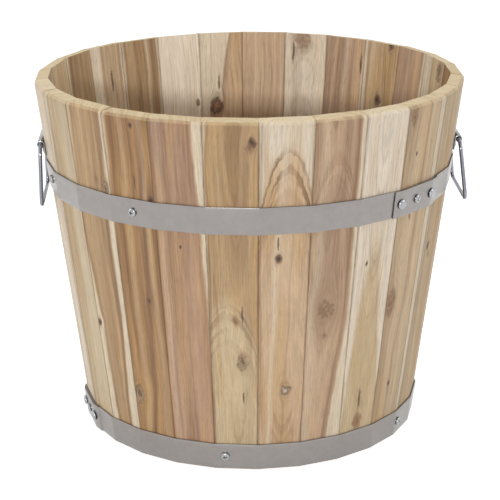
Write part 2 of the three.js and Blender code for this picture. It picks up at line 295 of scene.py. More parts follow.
# ---- wood

# Each tone is the wood's light and dark colour.
TONES = {
    "pale": (0xE6DAC8, 0xD2C0A8),
    "cream": (0xE0D2BD, 0xC8B59C),
    "straw": (0xD2BE9C, 0xB49A74),
    "oat": (0xD2B696, 0xB2916E),
    "sand": (0xC8AF8E, 0xA68C6C),
    "tan": (0xBEA07A, 0x967855),
    "clay": (0xC6A88A, 0xA2856C),
    "rose": (0xB8967A, 0x90705A),
    "brown": (0xAC875E, 0x7C5B3C),
}
SAPWOOD = 0xE0D2B8
STREAK_GOLD = 0xC29A62
STREAK_BROWN = 0x7A5A42
# painted shade: the dark brown put on the wood beside the gaps between the staves
SEAM_SHADE = 0x5E452F
KNOT_DARK = 0x382A22
END_GRAIN = (0xE0CEA8, 0xC6B086)
END_PORES = 0x9A8560
END_TINT = 0.20  # the share of the board's tone in its end grain

# Each layer of noise: how often it changes across and along the board, per mm, the shift of its seed,
# its detail and its roughness.
LAYERS = {
    "ragged": (0.25, 0.06, 0, 3.0, 0.5),
    "rough": (0.22, 0.16, 3, 3.0, 0.5),
    "broad": (0.075, 0.0035, 0, 2.0, 0.5),
    "middle": (0.30, 0.006, 5, 2.0, 0.5),
    "fine": (1.0, 0.014, 9, 3.0, 0.6),
    "drift": (0.07, 0.008, 21, 1.0, 0.5),
}
SEED_STEP = 17.31
WANDER = 7.0  # how far the grain drifts sideways, in mm
SLOW = (0.012, 0.011)  # how often that changes across and along, as fibres and pores do after it
FIBRE = (0.8, 0.03)
PORES = (1.3, 0.11)
TONE_SPREAD = 0.15  # the noise on each side of its middle that takes a tone from light to dark
WOOD_SPECULAR = 0.38
WOOD_RELIEF = (0.6, 0.00014)  # its strength, and its depth in metres


class Figure:
    """The figure of one board, in millimetres on its outer face. X runs across it, from its middle,
    and Z up it. Lines along it are given by X at its top, middle and foot. sides are sapwood strips
    (+1 or -1, line). bands are darker or, with a negative strength, lighter streaks (line, half width,
    strength). arch is an arch that holds another tone (X, Z, fall at 20 mm to each side, tone, strength
    of its lines). knots are (X, Z, radius, kind). pith is the place of the tree's middle (X, depth) and
    slope how it leans. shade is the level at the top and at the foot. On the staves seen inside the
    barrel it is above 1, partly their own lighter wood and partly painted light that stands in for the
    light inside the barrel. gold is the share of gold."""

    def __init__(self, tone, seed, sides=(), bands=(), arch=None, knots=(), pith=(-60, -30), slope=0.0,
                 shade=(1.0, 1.0), contrast=1.0, gold=0.25):
        self.tone, self.seed, self.sides, self.bands = tone, seed, sides, bands
        self.arch, self.knots, self.pith, self.slope = arch, knots, pith, slope
        self.shade, self.contrast, self.gold = shade, contrast, gold


STAVE_TOP = BARREL_HEIGHT / math.cos(LEAN) / MM

# Each kind of knot: how long it is for its width, the strengths of its body, its circles, its outline
# and the stain round it, the length of the stain in radii, and the colours of its heart and of the wood
# round that.
KNOT_KINDS = {
    "dark": (1.4, 0.95, 0.1, 0.45, 0.66, 3.8, KNOT_DARK, 0x705340),
    "smudge": (1.0, 0.30, 0.1, 0.0, 0.62, 2.6, 0x6A5040, 0x8C6E54),
    "eye": (1.75, 0.80, 0.2, 0.65, 0.50, 4.0, 0x574437, 0xA98F72),
    "loose": (1.2, 0.90, 0.1, 0.50, 0.62, 3.2, 0x94684C, 0x40302A),
    "swirl": (1.1, 0.55, 0.8, 0.45, 0.42, 2.8, 0x6F503A, 0xB79674),
    "pale": (0.95, 0.85, 0.1, 0.55, 0.62, 6.0, 0xCDC1AC, 0x75604F),
    "flame": (1.8, 0.80, 0.5, 0.45, 0.50, 3.0, 0x6E4C36, 0xA07A5A),
    "crack": (8.0, 0.80, 0.0, 0.0, 0.40, 11.0, 0x4C3B2E, 0x6B543E),
}
DENTED = ("dark", "eye", "loose", "pale")
FLAT_KNOTS = ("crack", "smudge")
GRAIN_BEND = 1.15  # how strongly the grain bends round a knot, and round a flat one
FLAT_BEND = 0.2
WIDEST_BEND = 8  # no knot bends the grain as if its radius were more, in mm
KNOT_STRETCH = 1.9  # how far the grain bends up and down the board for how far it does sideways
KNOT_WOBBLE = (1.5, 2.0)  # how uneven a knot is, across and along, in radii
STAIN_WIDTH = 1.7  # in radii


class Board(Tree):
    """The node tree of one board's wood. A stave's depth is measured from its leaning face, and a flat
    board's from its top."""

    def __init__(self, name, figure, thickness):
        super().__init__(bpy.data.materials.new(name))
        self.figure, self.is_stave = figure, thickness is None
        self.seed = figure.seed * SEED_STEP
        x, y, z = self.x, self.y, self.z = self.place()
        if self.is_stave:
            depth = (y + FOOT_RADIUS / MM + z * math.tan(LEAN)) * math.cos(LEAN)
        else:
            depth = y + thickness / MM
        self.ragged = self.layer("ragged", x)
        self.rough = self.layer("rough", x)
        slow = self.noise(self.vector(self.seed, x * SLOW[0], z * SLOW[1]), detail=1.0)
        self.bend_grain(x + (slow - 0.5) * WANDER)
        ring = self.length(self.grain - figure.pith[0], depth - figure.pith[1] - z * figure.slope)
        self.broad, self.middle, self.fine = (self.layer(kind, ring) for kind in ("broad", "middle", "fine"))
        self.drift = self.layer("drift", self.grain)
        self.fibre = self.strands(depth, *FIBRE, detail=4.0, rough=0.7)
        self.pores = self.strands(depth, *PORES, detail=1.0)
        self.mixed = self.broad * 0.45 + (self.middle * 0.33 + self.fine * 0.22)
        self.spread = TONE_SPREAD / figure.contrast

    def layer(self, kind, across):
        """A layer of noise, at a place across the board and the height up it."""
        wide, tall, shift, detail, rough = LAYERS[kind]
        where = self.vector(across * wide, self.seed + shift, self.z * tall)
        return self.noise(where, detail=detail, rough=rough)

    def strands(self, depth, wide, tall, **settings):
        """Noise that runs along the grain and goes through the board."""
        return self.noise(self.vector(self.grain * wide, depth * wide, self.z * tall), **settings)

    def line(self, top, middle, foot):
        """X of a line that runs smoothly through three places, at the board's top, middle and foot."""
        share = self.z * (1 / STAVE_TOP)
        bend, slope = 2.0 * (top + foot - 2 * middle), 4.0 * middle - 3 * foot - top
        return (share * bend + slope) * share + foot

    def bend_grain(self, grain):
        """Bends the grain round the knots, and keeps for each knot how far off each place is."""
        self.marks = []
        for kx, kz, radius, kind in self.figure.knots:
            across = self.x - kx + (self.rough - 0.5) * (radius * KNOT_WOBBLE[0])
            along = self.z - kz + (self.ragged - 0.5) * (radius * KNOT_WOBBLE[1])
            self.marks.append((across, along, radius, kind))
            tall, off = (self.z - kz) * (1 / KNOT_STRETCH), grain - kx
            bent = min(radius, WIDEST_BEND) ** 2 * (FLAT_BEND if kind in FLAT_KNOTS else GRAIN_BEND)
            reach = self.sum("MAXIMUM", off * off + tall * tall, bent * 1.05)
            grain = off * (1.0 - self.sum("DIVIDE", bent, reach)) + kx
        self.grain = grain

    def toned(self, tone):
        light, dark = (linear(code) for code in TONES[tone])
        return self.mix(self.ramp(self.mixed, 0.5 - self.spread, 0.5 + self.spread), light, dark)

    def browned(self, color, amount):
        return self.mix(amount, color, linear(STREAK_BROWN))

    def with_arch(self, color, ax, az, fall, tone, strength):
        """Another tone below an arch, and nested lines along the arch."""
        off = self.grain - ax
        past = self.z - (az - off * off * (fall / 400)) + (self.rough - 0.5) * 11.0
        soft = 8 + fall * 0.2
        color = self.mix(self.ramp(past, -soft, soft), self.toned(tone), color)
        nested = self.noise(self.vector(past * 0.11, self.seed, off * 0.02), detail=1.0)
        lines = self.ramp(nested, 0.44, 0.58) * self.ramp(past, -60.0, -5.0, 0.1, 1.0)
        lines = lines * self.ramp(past, -3.0, 7.0, strength, 0.0)
        return self.browned(color, lines * self.ramp(abs(off), 2.0, 13.0, 0.45, 1.0))

    def with_streaks(self, color):
        """Golden zones, dark zones where the rings are dense, and thin threads between the rings."""
        spread, contrast = self.spread, self.figure.contrast
        gold = self.ramp(self.drift, 0.46, 0.66, 0.0, self.figure.gold)
        color = self.mix(gold, color, linear(STREAK_GOLD))
        deep = self.ramp(self.mixed, 0.5 + spread * 0.8, 0.5 + spread * 2.0, 0.0, 0.5 * contrast)
        thread = self.ramp(abs(self.middle - 0.52), 0.0, 0.035, 0.36 * contrast, 0.0)
        return self.browned(self.browned(color, deep), thread * self.ramp(self.broad, 0.36, 0.56))

    def with_band(self, color, line, half, strength):
        amount = self.ramp(abs(self.grain - self.line(*line)), 0.0, half * 1.6, abs(strength), 0.0)
        amount = amount * self.ramp(self.middle, 0.25, 0.6, 0.65, 1.0)
        return self.mix(amount, color, linear(STREAK_BROWN if strength > 0 else SAPWOOD))

    def with_sapwood(self, color, side, line):
        """Pale sapwood past a line, with a darker edge along it."""
        past = (self.grain - self.line(*line)) * side
        color = self.browned(color, self.ramp(abs(past + 2.6), 0.0, 3.2, 0.32, 0.0))
        pale = self.mix(self.middle * 0.7, linear(SAPWOOD), linear(TONES["cream"][1]))
        return self.mix(self.ramp(past + (self.ragged - 0.5) * 3.0, -1.6, 1.8) * 0.92, color, pale)

    def with_knot(self, color, mark):
        """Draws a knot: the stain round it, its body with circles, and its broken outline. Gives the
        colour and the outline."""
        across, along, radius, kind = mark
        stretch, body, circles, outline, stain, reach, heart, wood = KNOT_KINDS[kind]
        far = self.length(along * (1 / (radius * reach)), across * (1 / (radius * STAIN_WIDTH)))
        stain = self.ramp(far, 0.1, 1.0, stain, 0.0) * self.ramp(self.fine, 0.36, 0.60, 0.15, 1.0)
        color = self.browned(color, stain)
        away = self.length(along * (1 / (radius * stretch)), across * (1 / radius))
        rings = self.noise(self.vector(away * 3.0, self.seed, self.rough * 1.5), detail=1.0)
        grit = self.noise(self.vector(across * 0.45, along * 0.30, self.seed), detail=2.5)
        uneven = away + (grit - 0.5) * 1.3
        heart_share = self.mix(circles, self.ramp(uneven, 0.80, 0.25), self.ramp(rings, 0.42, 0.58))
        inside = self.mix(heart_share, linear(wood), linear(heart))
        color = self.mix(self.ramp(uneven, 1.20, 0.65, 0.0, body), color, inside)
        rim = self.ramp(abs(away - 0.92), 0.0, 0.34, outline, 0.0) * self.ramp(grit, 0.40, 0.62, 0.15, 1.0)
        return self.mix(rim, color, linear(KNOT_DARK)), rim

    def shaded(self, color):
        """Fine fibres, and the board's level from its top to its foot, which on the staves seen inside the
        barrel is partly painted light.
        """
        top, foot = self.figure.shade
        level = self.fibre * 0.95 + (self.fine * 0.40 + 0.325)
        return self.scaled(color, level * (self.z * ((top - foot) / STAVE_TOP) + foot))

    def with_seam_shade(self, color):
        """Painted shade along the joints with the next staves, darkest beside the gap."""
        seam = self.ramp(self.y * -math.tan(HALF_PITCH) - abs(self.x), 0.0, 1.7, 0.55, 0.0)
        return self.mix(seam * self.ramp(self.ragged, 0.3, 0.6, 0.45, 1.0), color, linear(SEAM_SHADE))

    def with_ends(self, color):
        """End grain, on the faces that look along the board."""
        shape = self.node("NewGeometry", {}, "True Normal")
        facing = abs(self.node("SeparateXYZ", {0: shape}, "Z" if self.is_stave else "Y"))
        light, dark = (linear(code) for code in END_GRAIN)
        end = self.mix(self.ramp(self.middle * 0.5 + self.fine * 0.5, 0.38, 0.62), light, dark)
        end = self.mix(END_TINT, end, linear(TONES[self.figure.tone][0]))
        speck = self.noise(self.vector(self.x * 1.3, self.y * 1.3, self.seed), detail=2.0)
        end = self.mix(self.ramp(speck, 0.50, 0.72, 0.0, 0.55), end, linear(END_PORES))
        return self.mix(self.ramp(facing, 0.45, 0.85), color, end)


def wood_material(name, figure, thickness=None):
    """Acacia with growth rings, sapwood, streaks and knots. The rings bend round the knots."""
    board = Board(name, figure, thickness)
    color = board.toned(figure.tone)
    if figure.arch:
        color = board.with_arch(color, *figure.arch)
    color = board.with_streaks(color)
    for *line, half, strength in figure.bands:
        color = board.with_band(color, line, half, strength)
    for side, *line in figure.sides:
        color = board.with_sapwood(color, side, line)
    height = board.fibre * 0.6 + board.fine * 0.4
    for mark in board.marks:
        color, rim = board.with_knot(color, mark)
        height = height + rim * -1.2
    color = board.browned(color, board.ramp(board.pores, 0.56, 0.72, 0.0, 0.28 * figure.contrast))
    color = board.shaded(color)
    if board.is_stave:
        # painted shade beside the joints between the staves
        color = board.with_seam_shade(color)
    roughness = board.fibre * 0.20 + board.broad * 0.10 + 0.40
    color = board.with_ends(color)
    surface = {"Base Color": color, "Roughness": roughness, "Specular IOR Level": WOOD_SPECULAR}
    return board.finish(surface, height, *WOOD_RELIEF)


# The figure of each stave. X is as seen from outside, also for marks that show inside the barrel.
# The shade above 1 on staves 12 and 14 to 19, seen inside the barrel, is partly painted light: it lightens
# their wood to stand in for the light inside.
FIGURES = {
    1: Figure("cream", 1, contrast=0.8, arch=(2, 309, 40, "oat", 0.95), pith=(2, -30), slope=0.05, gold=0.3,
        knots=((-4.8, 209.5, 2.9, "dark"), (-5.5, 224, 0.9, "crack"), (4, 80, 4.6, "pale")),
        bands=((-21.5, -20, -17.5, 1.0, 0.45), (2, -8, -9, 2.6, -0.5), (23.5, 21, 18.5, 0.8, 0.5),
        (12, 5, 2, 1.0, 0.3))),
    2: Figure("clay", 2, sides=((1, 19.5, 16.5, 3.5),), arch=(-1.5, 302, 48, "clay", 0.5), pith=(-6, -26),
        slope=0.045, knots=((-2.5, 157, 7.6, "swirl"), (-3, 131, 2.2, "smudge")), gold=0.12,
        bands=((17, 12.5, 0, 1.3, 0.45), (-14, -13, -16, 5, -0.3), (-22, -21, -19, 1.2, 0.3),
        (4, 5, 6, 5, 0.2))),
    3: Figure("pale", 3, arch=(0.5, 215, 200, "straw", 0.3), pith=(0, -28), slope=0.06, contrast=0.8,
        gold=0.1, knots=((-8.2, 195, 1.4, "dark"), (0.5, 35, 4.6, "flame"), (0.5, 58, 1.5, "crack")),
        bands=((23.6, 21.5, 19.5, 0.9, 0.55), (-22.5, -21, -19.5, 1.2, 0.3))),
    4: Figure("sand", 4, pith=(-70, -25), knots=((-17, 325, 4.6, "flame"), (-15.5, 148, 7.0, "flame"),
        (-5.5, 288, 1.5, "dark"), (-3.2, 229, 1.7, "flame"), (0.2, 62, 1.6, "dark")),
        bands=((8, 4, -2, 1.4, 0.45), (-23.5, -22, -20, 1.2, 0.4), (23.0, 21, 19, 1.4, -0.5),
        (12, 10, 8, 3, -0.25))),
    5: Figure("straw", 5, sides=((-1, -11.5, -13.5, -15),), pith=(-50, -30), shade=(0.90, 0.94), gold=0.4,
        knots=((1.5, 187, 3.0, "dark"), (5.5, 178, 2.6, "smudge")), bands=((-1, -2, 0, 4, 0.22),)),
    6: Figure("sand", 6, pith=(-60, -30), sides=((1, 14, 14, 13),)),
    8: Figure("straw", 8, sides=((1, 3.5, 3, 3),), knots=((-15.2, 325, 4.6, "eye"),), pith=(50, -25)),
    9: Figure("clay", 9, pith=(50, -25), contrast=0.8, sides=((-1, -20, -18, -16),)),
    10: Figure("sand", 10, sides=((1, 18, 16, 14),), pith=(-40, -20), contrast=1.3, gold=0.4,
        knots=((-0.5, 278.5, 4.0, "dark"), (-11.8, 334, 3, "dark"))),
    11: Figure("clay", 11, pith=(60, -30), contrast=1.4, knots=((-18.7, 311, 1.3, "crack"),),
        bands=((7.5, 6, 5, 2.5, 0.5), (-9, -8, -7, 3.5, 0.5), (-1, -1, -1, 2, -0.3),
        (-22.5, -20, -18, 1.5, -0.7))),
    12: Figure("cream", 12, pith=(2, -26), slope=-0.05, shade=(1.07, 1.07), knots=((3, 331, 7.5, "swirl"),
        (4, 327, 8.0, "smudge"), (13, 317, 1.4, "crack")), bands=((-14, -13, -12, 4, -0.4),
        (-23, -20, -18, 1.5, 0.5), (8, 8, 6, 4, 0.25))),
    13: Figure("oat", 13, pith=(70, -30), contrast=0.9, gold=0.1),
    14: Figure("oat", 14, sides=((1, -9.5, 20, 30),), pith=(40, -25), shade=(1.08, 1.08),
        knots=((5.5, 261, 6.6, "loose"), (3, 285, 1.0, "crack")), bands=((-10, 19, 30, 0.9, 0.75),)),
    15: Figure("pale", 15, pith=(50, -30), contrast=0.6, shade=(1.2, 1.2), gold=0.05,
        knots=((-17.2, 266, 2.0, "flame"),)),
    16: Figure("tan", 16, sides=((1, 21, 19, 17),), pith=(-60, -30), contrast=1.1,
        bands=((-8, -7, -6, 2, -0.5), (-14, -13, -12, 3.2, 0.35), (-22, -20, -18, 2, -0.8))),
    17: Figure("sand", 17, shade=(1.18, 1.18), sides=((1, 9, 8, 7), (-1, -20.5, -18.5, -17)), pith=(60, -28),
        knots=((-4.5, 301, 1.5, "crack"),)),
    18: Figure("tan", 18, pith=(50, -30), shade=(1.06, 1.06), bands=((20.5, 18, 16, 2.6, -0.85),
        (14, 12.5, 11, 3.2, 0.65))),
    19: Figure("straw", 19, pith=(-60, -30), contrast=0.7, shade=(1.24, 1.24)),
    21: Figure("cream", 21, pith=(60, -30), bands=((18, 16, 14, 5, 0.1),)),
    22: Figure("straw", 22, sides=((-1, -18, -19.5, -19),), pith=(55, -30), contrast=0.8, shade=(0.86, 0.98),
        bands=((16, 13, 10, 7, -0.3), (24.5, 22, 19.5, 1.0, 0.4))),
    23: Figure("tan", 23, sides=((1, 21.5, 14.5, 9.5), (-1, -31, -19, -9)), pith=(-45, -26), gold=0.15,
        knots=((17, 263.5, 3.6, "eye"), (6, 270, 3.0, "smudge"), (-18.5, 125, 2.6, "dark")),
        bands=((18, 11.5, 7.5, 2.0, 0.5), (-18, -21, -22, 0.8, 0.45), (-22.5, -25, -27, 2.2, -0.5))),
    24: Figure("brown", 24, pith=(-50, -20), contrast=1.2, gold=0.5, knots=((6, 326, 1.8, "dark"),
        (7, 162, 2.0, "dark"), (-15, 64, 5.2, "eye"), (20, 260.5, 2.6, "dark"), (-22.5, 191, 1.6, "dark"),
        (4.5, 275, 1.0, "crack")), bands=((15, 6.5, -4, 3.2, 0.95), (-22.5, -24.5, -26, 2.0, -0.65),
        (-19, -21, -23, 0.8, 0.4), (24, 21.5, 18.5, 1.4, 0.75), (-6, -7, -9, 3.0, -0.18),
        (14, 13, 12, 2.6, -0.2))),
    25: Figure("rose", 25, sides=((1, 14.5, 19.5, 24),), pith=(-70, -25), knots=((-1.5, 219, 1.2, "dark"),),
        bands=((-23, -22, -21, 1.8, 0.55), (-15.2, -14.5, -12, 0.8, 0.35), (27, 21, 18.0, 0.8, 0.5),
        (-17, -16, -15, 3, -0.15))),
    26: Figure("tan", 26, arch=(-6, 168, 28, "straw", 0.5), pith=(3, -24), slope=0.05, gold=0.35,
        knots=((18, 317.5, 3.6, "dark"), (14.5, 312, 3.6, "smudge"), (7, 110, 4.3, "eye"),
        (1, 151, 3.6, "smudge"), (7.5, 156, 1.1, "crack"), (7.3, 74, 0.8, "crack")),
        bands=((-21.5, -19.8, -17.5, 1.0, 0.5), (24, 21.0, 19.2, 0.9, 0.6), (12, 11, 13, 4, 0.2),
        (-22.5, -23, -24, 1.6, -0.6))),
}
TONE_OF_SLOT = {"wood_cream": "cream", "wood_tan": "sand", "wood_rose": "rose", "wood_brown": "brown"}


def figure_of(number):
    """The figure of a stave. Those without one of their own get it by chance, in the tone of their slot."""
    if number in FIGURES:
        return FIGURES[number]
    chance = random.Random(number)
    tone = TONE_OF_SLOT[SLOTS[f"stave_{number:02d}"]]
    side = chance.choice((-1, 1))
    top = chance.uniform(10, 20)
    foot = top - chance.uniform(-2, 6)
    sides = ((side, side * top, side * (top + foot) / 2, side * foot),)
    knots = ((chance.uniform(-12, 12), chance.uniform(60, 220), chance.uniform(2.5, 5), "eye"),)
    return Figure(tone, number, sides=sides, knots=knots, pith=(-side * 50, -26), slope=0.02)


# ---- metal

DULL_SHARE = 0.90  # how bright the zinc's dull places are beside its clean ones
METAL_MARK = 0x6E6A64
METAL_RELIEF = (0.20, 0.00003)


def metal_material(name, color, roughness, spread, spangle, brush):
    """Zinc on steel: faint spangles of crystal, rolling lines round the barrel and small marks. spangle
    is the size of a crystal in mm, and brush how close the lines are, per mm."""
    tree = Tree(bpy.data.materials.new(name))
    x, y, z = tree.place()
    where = tree.vector(x, y, z)
    crystals = tree.node("TexVoronoi", {"Vector": where, "Scale": 1 / spangle}, "Color")
    crystal = tree.node("SeparateColor", {0: crystals}, "Red")
    cloud = tree.noise(where, scale=0.045, detail=3.0)
    speck = tree.noise(where, scale=0.9, detail=2.0)
    lines = tree.noise(tree.vector(x * 0.03, y * 0.03, z * brush), detail=3.0)
    light = linear(color)
    dull = tuple(c * DULL_SHARE for c in light[:3]) + (1,)
    tint = crystal * 0.20 + (cloud * 0.40 + lines * 0.40)
    finish = tree.mix(tree.ramp(tint, 0.25, 0.8), light, dull)
    finish = tree.mix(tree.ramp(speck, 0.66, 0.78, 0.0, 0.2), finish, linear(METAL_MARK))
    rough = (crystal * 0.4 + lines * 0.6) * spread + roughness
    surface = {"Base Color": finish, "Roughness": rough, "Metallic": 1.0}
    return tree.finish(surface, lines + speck * 0.3, *METAL_RELIEF)


HOOP_STEEL = metal_material("hoop_steel", 0x8E8A87, roughness=0.28, spread=0.08, spangle=5.0, brush=3.0)
ZINC = metal_material("zinc_steel", 0x9C9EA0, roughness=0.14, spread=0.12, spangle=2.0, brush=0.4)
WIRE_ZINC = metal_material("wire_zinc", 0x8A8C96, roughness=0.12, spread=0.10, spangle=2.0, brush=0.4)


# ---- pieces

SMOOTH_ANGLE = 38  # edges that turn by more stay sharp, in degrees
BEVEL_ANGLE = 50  # edges that turn by more are rounded, in degrees
TINY = 1e-6


def turned_to(angle):
    """A place on the barrel's axis whose own +X points out of the barrel at an angle from the front."""
    return Matrix.Rotation(math.radians(angle - 90), 4, "Z")


def on_wall(angle, z, lift, aside=0.0):
    """A place whose own +Z points straight out of the staves and +X down them. On a joint it stands on
    the ridge between two staves, and anywhere else on one stave's face."""
    is_joint = abs(angle / PITCH - round(angle / PITCH)) < TINY
    middle = angle if is_joint else (math.floor(angle / PITCH) + 0.5) * PITCH
    surface = outer_face(z) / math.cos(HALF_PITCH) if is_joint else outer_face(z)
    aside += outer_face(z) * math.tan(math.radians(angle - middle))
    move = Matrix.Translation((surface + lift * math.cos(LEAN), aside, z - lift * math.sin(LEAN)))
    return turned_to(middle) @ move @ Matrix.Rotation(math.pi / 2 + LEAN, 4, "Y")


def add_metal(node, mesh, material, place=Matrix.Identity(4), body="barrel"):
    """A piece whose place is in its mesh, so that its marks don't repeat from piece to piece."""
    mesh.transform(place)
    return add_piece(node, mesh, material, body=body)


def add_piece(node, mesh, material, place=Matrix.Identity(4), body="barrel"):
    """Puts a mesh in the place of a CAD node, on a body, with the material given."""
    mesh.materials.clear()
    mesh.materials.append(material)
    mesh.shade_smooth()
    mesh.set_sharp_from_angle(angle=math.radians(SMOOTH_ANGLE))
    piece = add_object(node + "_piece", mesh)
    piece.matrix_world = place
    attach(piece, body)
    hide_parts(node)
    return piece


def to_mesh(name, build):
    bmesh.ops.recalc_face_normals(build, faces=build.faces)
    mesh = bpy.data.meshes.new(name)
    build.to_mesh(mesh)
    build.free()
    return mesh


def loft(name, rings, bevel=0.0):
    """A mesh through rings of points, with flat ends. Its sharp edges are rounded by bevel."""
    build = bmesh.new()
    rows = [[build.verts.new(point) for point in ring] for ring in rings]
    for row, after in zip(rows, rows[1:]):
        for i in range(len(row)):
            j = (i + 1) % len(row)
            build.faces.new((row[i], row[j], after[j], after[i]))
    build.faces.new(rows[0][::-1])
    build.faces.new(rows[-1])
    if bevel:
        bmesh.ops.recalc_face_normals(build, faces=build.faces)
        sharp = [edge for edge in build.edges if edge.calc_face_angle(0.0) > math.radians(BEVEL_ANGLE)]
        bmesh.ops.bevel(build, geom=sharp, offset=bevel, segments=2, profile=0.5, affect="EDGES")
    return to_mesh(name, build)


def turned(name, profile, sides):
    """A round mesh about +Z from (radius, height) points, which start and end on the axis."""
    build = bmesh.new()
    turns = [2 * math.pi * i / sides for i in range(sides)]
    rows = []
    for radius, height in profile:
        around = turns[:1] if radius < TINY else turns
        points = [(radius * math.cos(turn), radius * math.sin(turn), height) for turn in around]
        rows.append([build.verts.new(point) for point in points])
    for row, after in zip(rows, rows[1:]):
        for i in range(sides):
            j = (i + 1) % sides
            corners = (row[i % len(row)], row[j % len(row)], after[j % len(after)], after[i % len(after)])
            build.faces.new(list(dict.fromkeys(corners)))
    return to_mesh(name, build)


def carved(name, mesh, cutters):
    """The mesh with other meshes cut out of it."""
    solid = add_object("solid", mesh)
    tools = [add_object("cutter", cutter) for cutter in cutters]
    for tool in tools:
        modifier = solid.modifiers.new("cut", "BOOLEAN")
        modifier.operation = "DIFFERENCE"
        modifier.solver = "EXACT"
        modifier.object = tool
    bpy.context.view_layer.update()
    shaped = solid.evaluated_get(bpy.context.evaluated_depsgraph_get())
    result = bpy.data.meshes.new_from_object(shaped)
    result.name = name
    for item in [solid, *tools]:
        bpy.data.objects.remove(item)
    return result


# ---- staves

STAVE_JOINT = 0.00005  # left open between two staves
EDGE_RADIUS = 0.0004
EDGE_STEPS = 4
OUTER_COLUMNS = 22
INNER_COLUMNS = 14
ROW_SPACING = 0.0034
TOP_DROP = 0.0007  # the most by which a stave is cut shorter than the highest
CHAMFER_EASE = 0.0005
GROOVE_STEP = 0.0008
FACE_DIP = 0.00005  # how deep a face lies on average, and how much its waves and ripples add
FACE_WAVE = 0.00009
FACE_RIPPLE = 0.00003
WAVES_ACROSS = 60  # per metre
WAVES_ALONG = 9
RIPPLES_PER_WAVE = 5
DENT_DEPTH = 0.07  # a knot's dent is a ring this deep, this far out and this wide, in its radii
DENT_PLACE = 0.85
DENT_WIDTH = 0.35


def stave_rows(top):
    """Where a stave's outer and inner corner are, row by row from the foot: radius and height of each."""
    groove_foot = BASE_HEIGHT - GROOVE_CLEARANCE
    groove_top = BASE_HEIGHT + BASE_THICKNESS + GROOVE_CLEARANCE
    groove_face = inner_face(BASE_HEIGHT) + GROOVE_DEPTH
    thick = Vector((-math.cos(LEAN), math.sin(LEAN))) * STAVE_THICKNESS

    def outer_at(length, inset=0.0):
        along = Vector((math.sin(LEAN), math.cos(LEAN))) * length
        return Vector((FOOT_RADIUS, 0)) + along + thick * (inset / STAVE_THICKNESS)

    def beside(z):
        return (z - thick.y) / math.cos(LEAN)

    rows = [(outer_at(0), Vector((inner_face(0), 0)))]
    body_top = top - RIM_CHAMFER - CHAMFER_EASE
    steps = round(body_top / ROW_SPACING)
    lengths = [body_top * i / steps for i in range(1, steps + 1)]
    low, high = beside(groove_foot), beside(groove_top)
    for length in lengths:
        inner = outer_at(length) + thick
        if low - ROW_SPACING / 2 < length < high + ROW_SPACING / 2:
            if not low + GROOVE_STEP * 2 < length < high - GROOVE_STEP * 2:
                continue
            inner = Vector((groove_face, inner.y))
        rows.append((outer_at(length), inner))
    for length, radius, z in (
        (low, inner_face(groove_foot), groove_foot),
        (low + GROOVE_STEP, groove_face, groove_foot),
        (high - GROOVE_STEP, groove_face, groove_top),
        (high, inner_face(groove_top), groove_top),
    ):
        rows.append((outer_at(length), Vector((radius, z))))
    rows.sort(key=lambda row: row[0].y)
    ease = CHAMFER_EASE
    for length, inset in (
        (top - RIM_CHAMFER - ease * 0.4, ease * 0.12),
        (top - RIM_CHAMFER + ease * 0.4, ease * 0.52),
        (top - ease * 0.6, RIM_CHAMFER - ease * 0.5),
        (top - ease * 0.1, RIM_CHAMFER + ease * 0.1),
    ):
        rows.append((outer_at(length, inset), outer_at(length) + thick))
    rows.append((outer_at(top, RIM_CHAMFER + ease), outer_at(top) + thick))
    return rows


def stave_mesh(number, figure):
    """A board with eased edges, a groove for the base, a bevelled top and slightly uneven faces."""
    chance = random.Random(100 + number)
    top = BARREL_HEIGHT / math.cos(LEAN) - chance.uniform(0, TOP_DROP)
    dents = [(kx * MM, kz * MM, r * MM) for kx, kz, r, kind in figure.knots if kind in DENTED]

    def dip(x, z, face):
        """How deep the surface lies at a place on a face."""
        spot = Vector((x * WAVES_ACROSS, z * WAVES_ALONG, number * 3.7 + face * 11))
        ripple = noise.noise(spot * RIPPLES_PER_WAVE)
        depth = FACE_DIP + FACE_WAVE * noise.noise(spot) + FACE_RIPPLE * ripple
        for kx, kz, radius in dents:
            away = math.hypot(x - kx, z - kz) / radius
            depth += DENT_DEPTH * radius * math.exp(-(((away - DENT_PLACE) / DENT_WIDTH) ** 2))
        return max(depth, 0)

    eases = [math.pi / 2 * i / EDGE_STEPS for i in range(EDGE_STEPS + 1)]
    rings = []
    for outer, inner in stave_rows(top):
        across = (inner - outer).normalized()

        def point(base, share, inset, face):
            """share is the place across the flat of the face, and inset the turn round its edge."""
            inward = across if face == 0 else -across
            corner = base + inward * (EDGE_RADIUS * (1 - math.cos(inset)))
            half = corner.x * math.tan(HALF_PITCH) - STAVE_JOINT / 2 / math.cos(HALF_PITCH)
            x = share * (half - EDGE_RADIUS) + math.copysign(EDGE_RADIUS * math.sin(inset), share)
            if inset == 0:
                corner = corner + inward * dip(x, corner.y, face)
            return (x, -corner.x, corner.y)

        ring = [point(outer, -1 + 2 * i / OUTER_COLUMNS, 0, 0) for i in range(OUTER_COLUMNS + 1)]
        ring += [point(outer, 1, turn, 0) for turn in eases[1:]]
        ring += [point(inner, 1, turn, 1) for turn in eases[:0:-1]]
        ring += [point(inner, 1 - 2 * i / INNER_COLUMNS, 0, 1) for i in range(INNER_COLUMNS + 1)]
        ring += [point(inner, -1, turn, 1) for turn in eases[1:]]
        ring += [point(outer, -1, turn, 0) for turn in eases[:0:-1]]
        rings.append(ring)
    return loft(f"stave_{number:02d}", rings)


def add_staves():
    for number in range(1, STAVE_COUNT + 1):
        node = f"stave_{number:02d}"
        figure = figure_of(number)
        turn = Matrix.Rotation(math.radians((number - 0.5) * PITCH), 4, "Z")
        add_piece(node, stave_mesh(number, figure), wood_material(node, figure), turn)


# ---- base

ARC_STEPS = 40
BOARD_EDGE = 0.0006
DRAIN_FLARE = 0.001
HOLE_SIDES = 48
CUT_PAST = 0.001  # how far a hole's cutter reaches past the board


